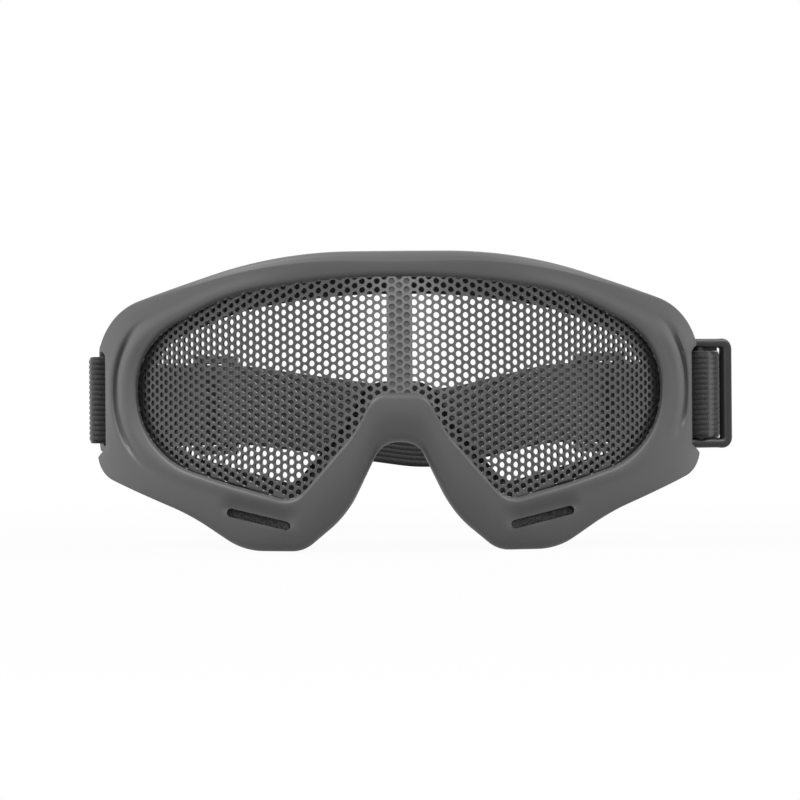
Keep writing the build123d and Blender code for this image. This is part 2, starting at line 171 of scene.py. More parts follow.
# How far from the opening the ridge and the groove run, and the heights over which they set in
side_relief = {"left": (3.6, 6.0, (20, 34)), "right": (4.8, 7.4, (28, 38))}
relief_edge_span = (0.82, 1.0)
hollow_depth = 1.4
hollow_end_span, hollow_low_span, hollow_high_span = (-2.5, 3.0), (-1.4, 0.8), (1.0, 5.5)
drop_most, drop_power, drop_out_span, drop_up_span = 2.4, 3, (25, 78), (44, 60)
edge_round_per_drop = 0.8
slit_depth, slit_out_span, slit_up_span = 0.8, (24, 40), (42, 62)
foot_reach, foot_span = 1.1, (45, 70)
inner_roll, inner_roll_share = 1.5, 0.4
fine_run, fine_share = 7.6, 0.84
least_wall, least_gap, least_step = 0.1, 0.05, 0.01
roll_steps, fine_steps, plain_steps, edge_steps = 12, 22, 6, 8
# Where the frame's section has points: down its side, along the flange's back and its front, and
# along the hollow's front
side_shares = (0.3, 0.65, 0.93)
flange_back_shares = (0.0, 0.03, 0.25, 0.5, 0.75, 0.97, 1.0)
flange_front_shares = (0.0, 0.1, 0.4, 0.7, 1.0)
hollow_shares = (0.0, 0.5, 1.0)
slot_points, slot_inset, slot_past_rim, cutter_front = 48, 0.4, 2.0, -12.0
barrel_gap, barrel_points = 0.3, 40
web_half_width, web_into_flange, web_short = 1.6, 1.2, 1.4

foam_glue, foam_edge = 0.05, 0.4
foam_squareness, foam_fullness = 3.2, 0.45
foam_back_steps, foam_face_steps = 6, 26
# The foam's uneven face: each wave's height, and how fast it turns across and up
foam_waves = ((0.25, 0.31, 0.17), (0.2, -0.12, 0.43))
rib_fullness = 0.7
turn_share, tail_turn_share, least_share = 0.96, 0.9, 0.05
lead_step, tail_step = ribbon_step / 3, ribbon_step / 2
blend_inset = 1

clip_step, corner_steps, lathe_steps, thread_sides = 0.4, 4, 36, 6
clip_arm_start, clip_bar_ease, clip_bar_sunk, clip_bar_core = 1.2, 3.0, 1.0, 0.001
clip_lip_start, clip_lip_rooted, clip_lip_inset, clip_top_lip_short = 0.4, 0.5, 0.2, 2.2
eye_ease, eye_chamfer = 0.5, 0.15
stitch_rise, stitch_sink, stitch_turn = 0.12, 0.1, 0.8

vent_foam_length, vent_foam_height = 22.0, 4.2
# How far the pad's outline is drawn in, and how far behind its front that is
vent_foam_layers = ((0.3, 0.0), (0.0, 0.3), (0.0, 1.0), (0.3, 1.6), (0.9, 1.95), (1.6, 2.0))

sheen_roughness, noise_roughness = 0.5, 0.55
plastic_cloud, plastic_gloss, plastic_grain = 0.07, 0.05, 2600.0

# The stage and the camera, in metres, but for the picture's pixels and the sensor's millimetres
floor_half = 3.0
floor_grey = 0.4
floor_white_share = 0.96
floor_shade_span = (0.12, 0.5)
world_strength = 0.12
camera_distance = 0.8
camera_side = -0.005
camera_height = 0.0415
camera_roll = math.radians(0.45)
focal_px = 2931.0
image_px = 800.0
sensor = 36.0

# Corners from the top down the +x side to the nose: shares of the half width and the height, and
# how far the rounding reaches as a share of the shorter run beside the corner. The half width and
# the height follow.
frame_form = ([
    (0.369, 1.0, 0.333),
    (1.0, 0.802, 0.333),
    (1.0, 0.255, 0.185),
    (0.665, 0.118, 0.342),
    (0.493, 0.0, 0.329),
    (0.302, 0.0, 0.206),
    (0.1642, 0.124, 0.406),
    (0.056, 0.3645, 0.444),
], frame_half_width, frame_height)
opening_form = ([
    (0.238, 1.0, 0.52),
    (0.615, 0.943, 0.345),
    (1.0, 0.781, 0.43),
    (1.0, 0.3466, 0.545),
    (0.3832, 0.1813, 0.172),
    (0.1627, 0.438, 0.303),
    (0.0917, 0.576, 0.26),
], opening_half_width, opening_top)


# Outlines


def moved_corner(before, corner, after, reach_share, out):
    """A corner moved out with both its edges, and the radius of its rounding there."""
    arriving = (corner - before).normalized()
    leaving = (after - corner).normalized()
    edge_normal = Vector((-arriving.y, arriving.x))
    between = (edge_normal + Vector((-leaving.y, leaving.x))).normalized()
    bulges = arriving.x * leaving.y - arriving.y * leaving.x < 0
    half_turn = between.angle(edge_normal)
    reach = reach_share * min((corner - before).length, (after - corner).length)
    radius = reach / math.tan(half_turn) + (out if bulges else -out)
    return corner + between * (out / math.cos(half_turn)), radius


def arc_points(before, corner, after, radius, step):
    """Points along the arc that rounds one corner."""
    to_before = (before - corner).normalized()
    to_after = (after - corner).normalized()
    half = to_before.angle(to_after) / 2
    reach = radius / math.tan(half)
    start = corner + to_before * reach
    centre = corner + (to_before + to_after).normalized() * (radius / math.sin(half))
    turn = math.pi - 2 * half
    sign = 1 if to_before.x * to_after.y - to_before.y * to_after.x < 0 else -1
    count = max(2, math.ceil(turn * radius / step))
    points = []
    for k in range(count + 1):
        spoke = start - centre
        spoke.rotate(Matrix.Rotation(sign * turn * k / count, 2))
        points.append(centre + spoke)
    return points


def corner_arcs(form, out, step):
    """The rounded corners of a closed outline, the same on both sides, moved out by a distance."""
    shares, half_width, height = form
    right = [Vector((half_width * x, height * z)) for x, z, _ in shares]
    corners = right + [Vector((-p.x, p.y)) for p in reversed(right)]
    reaches = [share for _, _, share in shares]
    reaches = reaches + reaches[::-1]
    count = len(corners)
    moved = [moved_corner(corners[k - 1], corners[k], corners[(k + 1) % count], reaches[k], out)
             for k in range(count)]
    points = [point for point, _ in moved]
    return [arc_points(points[k - 1], points[k], points[(k + 1) % count], moved[k][1], step)
            for k in range(count)]


def opening_outline(out):
    """The eye opening's outline as one loop of points, moved out by a distance."""
    return [point for arc in corner_arcs(opening_form, out, sheet_edge_step) for point in arc]


def half_outline(form, out):
    """The +x half from the top down, and the lengths up to its points and its corners' middles."""
    arcs = corner_arcs(form, out, outline_step)[:len(form[0])]
    line = [Vector((0, arcs[0][0].y))]
    middles = []
    for arc in arcs:
        middles.append(len(line) + len(arc) // 2)
        line += arc
    line.append(Vector((0, arcs[-1][-1].y)))
    along = [0.0]
    for a, b in zip(line, line[1:]):
        along.append(along[-1] + (b - a).length)
    return line, along, [along[k] for k in middles]


def at_length(line, along, length):
    """The point at a distance along a line."""
    k = min(max(bisect.bisect_right(along, length) - 1, 0), len(line) - 2)
    span = along[k + 1] - along[k]
    share = (length - along[k]) / span if span > 0 else 0.0
    return line[k].lerp(line[k + 1], min(max(share, 0.0), 1.0))


def stations(frame_out, opening_out, step):
    """Pairs of points all the way round, on the eye opening's outline and on the frame's."""
    outer, outer_along, outer_mid = half_outline(frame_form, frame_out)
    inner, inner_along, inner_mid = half_outline(opening_form, opening_out)
    outer_keys = [0.0, outer_mid[1], outer_mid[2], (outer_mid[4] + outer_mid[5]) / 2,
                  outer_mid[6], outer_mid[7], outer_along[-1]]
    inner_keys = [0.0, *inner_mid[2:], inner_along[-1]]
    pairs = []
    for k in range(len(outer_keys) - 1):
        outer_run = outer_keys[k + 1] - outer_keys[k]
        inner_run = inner_keys[k + 1] - inner_keys[k]
        count = max(4, math.ceil(max(outer_run, inner_run) / step))
        for j in range(count):
            share = j / count
            pairs.append((at_length(inner, inner_along, inner_keys[k] + inner_run * share),
                          at_length(outer, outer_along, outer_keys[k] + outer_run * share)))
    last = (inner[-1], outer[-1])
    left = [(Vector((-i.x, i.y)), Vector((-o.x, o.y))) for i, o in reversed(pairs[1:])]
    return pairs + [last] + left


def inside(point, loop):
    """Whether a point lies in a closed loop."""
    hit = False
    for k in range(len(loop)):
        a, b = loop[k - 1], loop[k]
        if (a.y > point.y) != (b.y > point.y):
            hit ^= point.x < a.x + (point.y - a.y) * (b.x - a.x) / (b.y - a.y)
    return hit


# Meshes


def new_object(name, data):
    """An object in the scene, of a mesh, a lamp or a camera."""
    made = bpy.data.objects.new(name, data)
    bpy.context.scene.collection.objects.link(made)
    return made


def skinned(name, rows, closed=False):
    """A mesh over equal rows of points in millimetres, capped at its ends unless it closes."""
    around = len(rows[0])
    faces = []
    for k in range(len(rows) if closed else len(rows) - 1):
        after = (k + 1) % len(rows)
        for j in range(around):
            i = (j + 1) % around
            faces.append((k * around + j, after * around + j, after * around + i, k * around + i))
    if not closed:
        last = (len(rows) - 1) * around
        faces += [tuple(range(around)), tuple(last + j for j in reversed(range(around)))]
    mesh = bpy.data.meshes.new(name)
    mesh.from_pydata([point * mm for row in rows for point in row], [], faces)
    return mesh


def merged(name, meshes, change=None):
    """One mesh of several, after a change to it, with its normals outward."""
    build = bmesh.new()
    for mesh in meshes:
        build.from_mesh(mesh)
    if change:
        change(build)
    bmesh.ops.recalc_face_normals(build, faces=build.faces)
    result = bpy.data.meshes.new(name)
    build.to_mesh(result)
    build.free()
    return result


def without_loose(build):
    """Takes points without faces away."""
    bmesh.ops.delete(build, geom=[v for v in build.verts if not v.link_faces], context="VERTS")


def with_split_caps(build):
    """Splits faces of more than four corners."""
    bmesh.ops.triangulate(build, faces=[f for f in build.faces if len(f.verts) > 4])


def finished(name, mesh, material, sharp):
    """An object of a mesh, smooth but for edges sharper than an angle, of one material."""
    mesh.polygons.foreach_set("use_smooth", [True] * len(mesh.polygons))
    mesh.set_sharp_from_angle(angle=math.radians(sharp))
    mesh.materials.clear()
    mesh.materials.append(material)
    return new_object(name, mesh)


def on_sheet(flat, behind):
    """A flat point's place on the bent sheet, a distance behind its front, in metres."""
    angle = flat.x / sheet_radius
    r = sheet_radius - behind
    return Vector((r * math.sin(angle), sheet_radius - r * math.cos(angle), flat.y)) * mm


def sheet_pattern():
    """The flat sheet's outline and its holes' centres, staggered in upright columns."""
    edge = opening_outline(groove_depth)
    inner = opening_outline(groove_depth - hole_diameter / 2 - edge_margin)
    bordered = opening_outline(-hole_diameter / 2 - plain_border)
    column_step = hole_pitch * math.sqrt(3) / 2
    reach = sheet_radius * math.asin((opening_half_width + groove_depth) / sheet_radius)
    columns = int(reach / column_step)
    rows = int((opening_top + groove_depth) / hole_pitch)
    centres = []
    for column in range(-columns, columns + 1):
        s = column * column_step
        x = sheet_radius * math.sin(s / sheet_radius)
        shift = hole_pitch / 2 * (column % 2)
        for row in range(rows + 1):
            z = row * hole_pitch + shift
            plain = abs(x) > border_from_x and z < border_below
            if inside(Vector((x, z)), bordered if plain else inner):
                centres.append(Vector((s, z)))
    flat = [Vector((sheet_radius * math.asin(p.x / sheet_radius), p.y)) for p in reversed(edge)]
    return flat, centres


def make_sheet(material):
    """The perforated sheet with its real number of holes, bent round an upright axis."""
    edge, centres = sheet_pattern()
    points = list(edge)
    loops = [list(range(len(edge)))]
    turns = [math.tau * k / hole_sides for k in range(hole_sides)]
    spokes = [Vector((math.cos(turn), math.sin(turn))) * hole_diameter / 2 for turn in turns]
    for centre in centres:
        loops.append(list(range(len(points), len(points) + hole_sides)))
        points += [centre + spoke for spoke in spokes]
    limits = [(loop[k - 1], loop[k]) for loop in loops for k in range(len(loop))]
    result = delaunay_2d_cdt(points, limits, loops, cdt_inside_only, cdt_same_point)
    flat_points, _, triangles, _, _, origins = result
    count = len(flat_points)
    sides = [on_sheet(p, behind) for behind in (0, sheet_thickness) for p in flat_points]
    solid = [t for t, loops_round_it in zip(triangles, origins) if list(loops_round_it) == [0]]
    edges = dict.fromkeys((t[k - 1], t[k]) for t in solid for k in range(3))
    faces = [tuple(t) for t in solid]
    faces += [tuple(count + k for k in reversed(t)) for t in solid]
    faces += [(b, a, count + a, count + b) for a, b in edges if (b, a) not in edges]
    mesh = bpy.data.meshes.new("mesh_lens_sheet")
    mesh.from_pydata(sides, [], faces)
    mesh.validate()
    mesh = merged("mesh_lens_sheet", [mesh], without_loose)
    piece = finished("perforated_sheet", mesh, material, sharp=35)
    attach(piece, "root")
    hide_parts("mesh_lens")


# Frame


def smooth_step(low, high, value):
    """From 0 below low to 1 above high, without corners."""
    share = min(max((value - low) / (high - low), 0.0), 1.0)
    return share * share * (3 - 2 * share)


def bell(middle, width, value):
    """A bell curve of height 1."""
    return math.exp(-((value - middle) / width) ** 2)


def rim_depth(x, below):
    """The depth of the cylinder that lies a distance below the rim's front surface."""
    return sheet_radius - math.sqrt((rim_radius - below) ** 2 - x * x)


def face_at(x, before):
    """The depth of the cylinder that lies a distance before the rear flange's back surface."""
    return face_axis_y - math.sqrt((face_radius + before) ** 2 - x * x)


def vent_hollow(x, z):
    """The soft hollow round a cheek vent, mostly above it."""
    tilt = math.radians(math.copysign(vent_tilt, x))
    away = Vector((x - math.copysign(vent_x, x), z - vent_z))
    along = away.x * math.cos(tilt) + away.y * math.sin(tilt)
    up = away.y * math.cos(tilt) - away.x * math.sin(tilt)
    beside = 1 - smooth_step(*hollow_end_span, abs(along) - vent_length / 2)
    beside *= smooth_step(*hollow_low_span, up) * (1 - smooth_step(*hollow_high_span, up))
    return -hollow_depth * beside


def rim_relief(x, z, p, width, whole_width):
    """How far the rim's front stands above its cylinder."""
    ridge_at, groove_at, low_span = side_relief["left" if x < 0 else "right"]
    beside = (smooth_step(*side_span, abs(x)) * smooth_step(*low_span, z)
              * (1 - smooth_step(*side_top_span, z)))
    ridge = ridge_rise * bell(ridge_at, ridge_width, p)
    groove = -side_groove_depth * bell(groove_at, side_groove_width, p)
    strip = strip_rise * bell(groove_at + strip_past_groove, strip_width, p)
    bead = bead_rise * bell(bead_at, bead_width, p) * smooth_step(*bead_span, abs(x))
    edge = 1 - smooth_step(*relief_edge_span, p / width)
    crown = rim_crown * math.sin(math.pi * min(p / whole_width, 1.0))
    return (crown + (ridge + groove + strip) * beside) * edge + bead + vent_hollow(x, z)


def edge_drop(point):
    """How far the rim's outer edge falls back at the nose and the cheeks."""
    low = 1 - smooth_step(*drop_up_span, point.y)
    return drop_most * (1 - smooth_step(*drop_out_span, abs(point.x))) * low


def notched(inner, outer):
    """The frame's outline point of a station, drawn in where the webbing passes its side."""
    inside_share = smooth_step(notch_low - notch_low_ease, notch_low + notch_low_ease, outer.y)
    inside_share *= 1 - smooth_step(notch_high, notch_high + notch_high_run, outer.y)
    limit = frame_half_width - notch_depth * inside_share
    if abs(outer.x) <= limit:
        return outer
    return inner + (outer - inner) * ((limit - abs(inner.x)) / (abs(outer.x) - abs(inner.x)))


def frame_section(inner, outer, whole_width):
    """The frame's closed section between two outline points, a row of points in millimetres."""
    across = outer - inner
    width = across.length
    n = across / width

    def x_at(p):
        return inner.x + n.x * p

    drop = edge_drop(outer)
    slope = outer.x / math.sqrt(rim_radius ** 2 - outer.x ** 2) * n.x + drop_power * drop / width
    hyp = math.hypot(1, slope)
    r = rim_edge_round + edge_round_per_drop * drop
    centre_y = rim_depth(outer.x, 0) + drop + r / hyp + slope * (-r + r * slope / hyp)
    front_end = width - r * (1 - slope / hyp)

    def front_at(p):
        relief = rim_relief(x_at(p), inner.y + n.y * p, p, width, whole_width)
        return rim_depth(x_at(p), -relief) + drop * (max(p, 0.0) / width) ** drop_power

    def groove_front(p):
        return rim_depth(x_at(p), rim_stand_proud - sheet_fit)

    def groove_back(p):
        return rim_depth(x_at(p), rim_stand_proud + sheet_thickness + sheet_fit)

    slit = slit_depth * smooth_step(*slit_out_span, abs(inner.x))
    slit *= 1 - smooth_step(*slit_up_span, inner.y)
    foot = -foot_reach * smooth_step(*foot_span, abs(inner.x))
    roll = min(inner_roll, front_end * inner_roll_share)
    start = groove_front(foot) - slit
    section = []
    for k in range(roll_steps):
        turn = math.pi / 2 * k / roll_steps
        p = foot + roll * (1 - math.cos(turn))
        section.append((p, start + (front_at(p) - start) * math.sin(turn)))
    fine_end = min(fine_run, front_end * fine_share)
    front = [foot + roll + (fine_end - foot - roll) * k / fine_steps for k in range(fine_steps)]
    front += [fine_end + (front_end - fine_end) * k / plain_steps for k in range(plain_steps + 1)]
    section += [(p, front_at(p)) for p in front]
    first = math.atan2(1, slope)
    for k in range(edge_steps):
        turn = first * (1 - (k + 1) / edge_steps)
        section.append((width - r + r * math.cos(turn), centre_y - r * math.sin(turn)))
    back_y = face_at(outer.x, 0)
    section += [(width, centre_y + (back_y - centre_y) * share) for share in side_shares]
    lip = -lip_reach
    for share in flange_back_shares:
        p = width + (lip - width) * share
        section.append((p, face_at(x_at(p), 0)))
    wall_p = width - frame_wall
    seat_p = min(seat_width, wall_p - least_wall)

    def hollow_limits(p):
        rear = face_at(x_at(p), flange_thickness)
        front = rim_depth(x_at(p), rim_thickness)
        middle = (rear + front) / 2
        return min(front, middle - least_gap), max(rear, middle + least_gap)

    for share in flange_front_shares:
        p = lip + (wall_p - lip) * share
        section.append((p, hollow_limits(p)[1] if p > 0 else face_at(x_at(p), flange_thickness)))
    for share in hollow_shares:
        p = wall_p + (seat_p - wall_p) * share
        section.append((p, hollow_limits(p)[0]))
    seat_front, seat_back = hollow_limits(seat_p)
    seat_y = min(rim_depth(x_at(seat_p), seat_depth), seat_back - least_gap)
    section.append((seat_p, max(seat_y, seat_front + least_step)))
    inner_back = face_at(inner.x, flange_thickness) - least_wall
    section.append((0.0, min(rim_depth(inner.x, seat_depth), inner_back)))
    section.append((0.0, groove_back(0.0)))
    deep = min(groove_depth + sheet_fit, seat_p - least_wall)
    section += [(deep, groove_back(deep)), (deep, groove_front(deep))]
    return [Vector((inner.x + n.x * p, y, inner.y + n.y * p)) for p, y in section]


def slot_ring(side, long, tall, lower, below):
    """A round-ended slot's outline on one cheek, at a distance below the rim's front."""
    tilt = math.radians(side * vent_tilt)
    straight = (long - tall) / 2
    ring = []
    for k in range(slot_points):
        angle = math.tau * k / slot_points
        u = tall / 2 * math.cos(angle) + math.copysign(straight, math.cos(angle))
        v = tall / 2 * math.sin(angle) - lower
        x = side * vent_x + u * math.cos(tilt) - v * math.sin(tilt)
        z = vent_z + u * math.sin(tilt) + v * math.cos(tilt)
        ring.append(Vector((x, rim_depth(x, below), z)))
    return ring


def carved(mesh, side):
    """The frame's mesh with one cheek's vent slot cut out."""
    back = slot_ring(side, vent_length, vent_height - slot_inset, slot_inset,
                     rim_thickness + slot_past_rim)
    front = [Vector((p.x, cutter_front, p.z)) for p in back]
    tool = new_object("vent", merged("vent", [skinned("vent", [front, back])], with_split_caps))
    rough = new_object("rough", mesh)
    cut = rough.modifiers.new("cut", "BOOLEAN")
    cut.object, cut.operation, cut.solver = tool, "DIFFERENCE", "EXACT"
    bpy.context.view_layer.update()
    seen = rough.evaluated_get(bpy.context.evaluated_depsgraph_get())
    result = bpy.data.meshes.new_from_object(seen)
    bpy.data.objects.remove(tool)
    bpy.data.objects.remove(rough)
    return result


def barrel_meshes(side):
    """One hinge barrel with its web."""
    low = clip_low + clip_arm + barrel_gap
    high = clip_high - clip_arm - barrel_gap
    profile = [(barrel_radius, low), (barrel_radius, high),
               (bore_radius, high), (bore_radius, low)]
    x = side * hinge_x
    root = face_at(hinge_x, 0) - web_into_flange
    web = block_mesh((x - web_half_width, root, low),
                     (x + web_half_width, hinge_y - web_short, high))
    return [lathed(profile, x, hinge_y, barrel_points), web]


def make_frame(material):
    """The moulded frame: crowned rim, cheek vents, notched sides, hollow behind, hinge barrels."""
    sections = [frame_section(inner, notched(inner, outer), (outer - inner).length)
                for inner, outer in stations(0, 0, frame_step)]
    mesh = carved(carved(merged("rim", [skinned("rim", sections, closed=True)]), 1), -1)
    mesh = merged("frame_moulding", [mesh] + barrel_meshes(1) + barrel_meshes(-1))
    piece = finished("frame_moulding", mesh, material, sharp=42)
    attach(piece, "root")
    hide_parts("frame")


# Foam


def foam_section(inner, outer):
    """The face foam's closed section, crowned towards the face."""
    def kept(point):
        x = math.copysign(min(abs(point.x), foam_half_width), point.x)
        return Vector((x, max(point.y, foam_over_table)))
    inner, outer = kept(inner), kept(outer)
    section = []
    for k in range(foam_back_steps + 1):
        spot = inner + (outer - inner) * (1 - k / foam_back_steps)
        section.append(Vector((spot.x, face_at(spot.x, 0) + foam_glue, spot.y)))
    for k in range(1, foam_face_steps):
        share = k / foam_face_steps
        rise = (1 - abs(2 * share - 1) ** foam_squareness) ** foam_fullness
        spot = inner + (outer - inner) * share
        wander = sum(most * math.sin(spot.x * a + spot.y * b) for most, a, b in foam_waves)
        height = max((foam_thickness + wander - foam_edge) * rise, foam_edge)
        section.append(Vector((spot.x, face_at(spot.x, 0) + height, spot.y)))
    return section


def make_face_foam(material):
    """The open-cell foam ring against the face."""
    sections = [foam_section(inner, outer)
                for inner, outer in stations(-foam_inset, -lip_reach, foam_step)]
    mesh = merged("face_foam_ring", [skinned("face_foam_ring", sections, closed=True)])
    piece = finished("face_foam_ring", mesh, material, sharp=60)
    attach(piece, "root")
    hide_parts("face_foam")


# Webbing


def path_in_plan(points, radii, step):
    """A plan path with rounded corners, in short steps."""
    line = []
    last = Vector(points[0])
    for k in range(1, len(points)):
        if k < len(points) - 1:
            corner = Vector(points[k])
            before, after = Vector(points[k - 1]), Vector(points[k + 1])
            arc = arc_points(before, corner, after, radii[k - 1], step)
        else:
            arc = [Vector(points[k])]
        run = arc[0] - last
        count = max(1, math.ceil(run.length / step))
        line += [last + run * (j / count) for j in range(count)]
        line += arc[:-1]
        last = arc[-1]
    line.append(last)
    tidy = [line[0]]
    for point in line[1:]:
        if (point - tidy[-1]).length > step * least_share:
            tidy.append(point)
    return tidy


def heading_at(line, k):
    """The way a line runs at one of its points."""
    return (line[min(k + 1, len(line) - 1)] - line[max(k - 1, 0)]).normalized()


def webbing_profile():
    """The cross-section: (across, through) pairs round the webbing, with its lengthwise ribs."""
    half = strap_width / 2
    edge = strap_thickness / 2
    count = round((strap_width - 2 * edge) / rib_pitch) * rib_samples
    outer = []
    for k in range(count + 1):
        rise = abs(math.sin(math.pi * k / rib_samples)) ** rib_fullness
        outer.append((edge - half + (strap_width - 2 * edge) * k / count,
                      edge - rib_depth * (1 - rise)))
    turn = []
    for k in range(1, 4):
        angle = math.pi * k / 4
        turn.append((half - edge + edge * math.sin(angle), (edge - rib_depth) * math.cos(angle)))
    return outer + turn + [(w, -t) for w, t in reversed(outer)] + [(-w, -t) for w, t in turn]


def ribbon(name, line, height_at, material):
    """Webbing on edge along a plan line. Its run is how far along, across and through it is."""
    profile = webbing_profile()
    rows = []
    places = []
    along = 0.0
    for k, point in enumerate(line):
        heading = heading_at(line, k)
        normal = Vector((heading.y, -heading.x))
        if k:
            along += (point - line[k - 1]).length
        middle = height_at(point)
        row = []
        for across, through in profile:
            spot = point + normal * through
            row.append(Vector((spot.x, spot.y, middle + across)))
            places += [along * mm, across * mm, through * mm]
        rows.append(row)
    mesh = skinned(name, rows)
    mesh.attributes.new("run", "FLOAT_VECTOR", "POINT").data.foreach_set("vector", places)
    return finished(name, mesh, material, sharp=70)


def on_side(point, side):
    """A plan point of the +x side, on the side asked for."""
    return Vector((side_sign[side] * point[0], point[1]))


def clip_to_plan(point, side):
    """A point of the clip's own frame, in plan on the +x side."""
    spot = Vector(point)
    spot.rotate(Matrix.Rotation(math.radians(swing[side]), 2))
    return Vector((hinge_x, hinge_y)) + spot


def wrap_corners(side, spare):
    """The webbing's corners round the inner bar in the clip's own frame, outer end first."""
    turn = math.radians(swing[side])
    back = Vector((math.sin(turn), math.cos(turn)))
    inward = Vector((-math.cos(turn), math.sin(turn)))
    nose = inner_bar_reach - wrap_off
    bend = Vector(wrap_turn[side])
    front = (inner_bar_reach + (wrap_off + spare) / 2, -wrap_off - spare)
    rear = (inner_bar_reach + wrap_off / 2, wrap_off)
    return [bend + back * wrap_end_run, bend, front, (nose, -wrap_off - spare), (nose, wrap_off),
            rear, bend + inward * layer_pitch]


def lead_x(side):
    """How far out the outer layer of the webbing runs beside the head."""
    return clip_to_plan(wrap_corners(side, 0)[0], side).x


def make_lead(side, material):
    """Both layers from the loop's still part to the clip, and their turn round its inner bar."""
    x = lead_x(side)
    corners = [clip_to_plan(p, side) for p in wrap_corners(side, slack[side])[1:]]
    points = [Vector((x, lead_end_y))] + corners + [Vector((x - layer_pitch, lead_end_y))]
    bar_turn = wrap_off * turn_share
    radii = [wrap_bend_radius, wrap_bend_radius / 2, bar_turn, bar_turn, wrap_off / 2,
             wrap_bend_radius / 2]
    line = [on_side(p, side) for p in path_in_plan(points, radii, lead_step)]
    moving_y = clip_to_plan(wrap_corners(side, 0)[0], side).y

    def height_at(point):
        level = strap_height - wrap_drop[side]
        share = smooth_step(moving_y - blend_inset, lead_end_y, point.y)
        return level + (loop_height - level) * share

    piece = ribbon("strap_lead_and_wrap_" + side, line, height_at, material)
    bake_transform(piece)
    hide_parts("strap_lead_" + side, "strap_wrap_" + side)


def make_band(material):
    """The single layer of webbing round the back of the head, level but for a dip off centre."""
    far, span = frame_half_width + strap_width, strap_sag_half_span
    bends = [(-far, loop_height), (-span, loop_height), (strap_sag_x, loop_height - strap_sag),
             (span, loop_height), (far, loop_height)]
    dip = path_in_plan(bends, [strap_sag_radius] * 3, ribbon_step)

    def height_at(point):
        for a, b in zip(dip, dip[1:]):
            if a.x <= point.x <= b.x:
                return a.y + (b.y - a.y) * (point.x - a.x) / (b.x - a.x)
        return loop_height

    points = [(-lead_x("left"), lead_end_y), (-lead_x("left"), strap_shoulder_y),
              (-strap_back_half_width, strap_back_y), (strap_back_half_width, strap_back_y),
              (lead_x("right"), strap_shoulder_y), (lead_x("right"), lead_end_y)]
    line = path_in_plan(points, [strap_bend_radius] * 4, ribbon_step)
    piece = ribbon("strap_band_webbing", line, height_at, material)
    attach(piece, "root")
    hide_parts("strap_band")


def shoulder_run(side):
    """The straight stretch behind the side's bend: its start, heading and inward normal."""
    start = Vector((lead_x(side), strap_shoulder_y))
    heading = (Vector((strap_back_half_width, strap_back_y)) - start).normalized()
    return start, heading, Vector((-heading.y, heading.x))


def make_tail(side, material):
    """The inner layer from the lead to the adjuster, turned back round its middle bar."""
    start, heading, inward = shoulder_run(side)
    bend = (Vector((0, 1)) + heading).normalized()
    across = Vector((-bend.y, bend.x))
    corner = start + across * (layer_pitch / abs(across.x))
    past = slider_bar_width / 2 + strap_bar_gap + strap_thickness / 2
    spot = start + heading * (slider_along + past) + inward * layer_pitch
    turned = spot + inward * tail_turn
    end = turned - heading * (past + tail_return)
    points = [Vector((start.x - layer_pitch, lead_end_y)), corner, spot, turned, end]
    radii = [strap_bend_radius - layer_pitch] + [tail_turn / 2 * tail_turn_share] * 2
    line = [on_side(p, side) for p in path_in_plan(points, radii, tail_step)]
    piece = ribbon("strap_tail_webbing_" + side, line, lambda point: loop_height, material)
    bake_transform(piece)
    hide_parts("strap_tail_" + side)


# Clips and stitches


def rounded_section(wide, deep, radius):
    """A rounded rectangle's outline about its middle."""
    points = []
    for k in range(4):
        middle_x = (wide / 2 - radius) * (1 if k in (0, 3) else -1)
        middle_y = (deep / 2 - radius) * (1 if k in (0, 1) else -1)
        for j in range(corner_steps + 1):
            angle = math.pi / 2 * (k + j / corner_steps)
            points.append((middle_x + radius * math.cos(angle),
                           middle_y + radius * math.sin(angle)))
    return points


def swept_bar(line, sizes_at):
    """A rounded bar along a line in the x-z plane, closed at its ends."""
    rows = []
    for k, point in enumerate(line):
        heading = heading_at(line, k)
        normal = Vector((heading.y, -heading.x))
        rows.append([Vector((point.x + normal.x * a, b, point.y + normal.y * a))
                     for a, b in rounded_section(*sizes_at(point))])
    return skinned("bar", rows)


def lathed(profile, x, y=0, count=lathe_steps):
    """A closed profile of (radius, height) pairs turned about an upright axis."""
    turns = [math.tau * k / count for k in range(count)]
    return skinned("lathed", [[Vector((x + r * math.cos(turn), y + r * math.sin(turn), z))
                               for turn in turns] for r, z in profile], closed=True)


def block_mesh(low, high):
    """A plain block between two corners."""
    build = bmesh.new()
    low, high = Vector(low) * mm, Vector(high) * mm
    place = Matrix.Translation((low + high) / 2) @ Matrix.Diagonal((*(high - low), 1))
    bmesh.ops.create_cube(build, size=1.0, matrix=place)
    mesh = bpy.data.meshes.new("block")
    build.to_mesh(mesh)
    build.free()
    return mesh


def eye_profile(low, high):
    """The round end of a clip's arm, with eased rims and the pin's bore."""
    r = clip_depth / 2
    rim = [(bore_radius, 0), (r - eye_ease, 0), (r - eye_chamfer, eye_chamfer), (r, eye_ease)]
    return [(a, low + b) for a, b in rim] + [(a, high - b) for a, b in reversed(rim)]


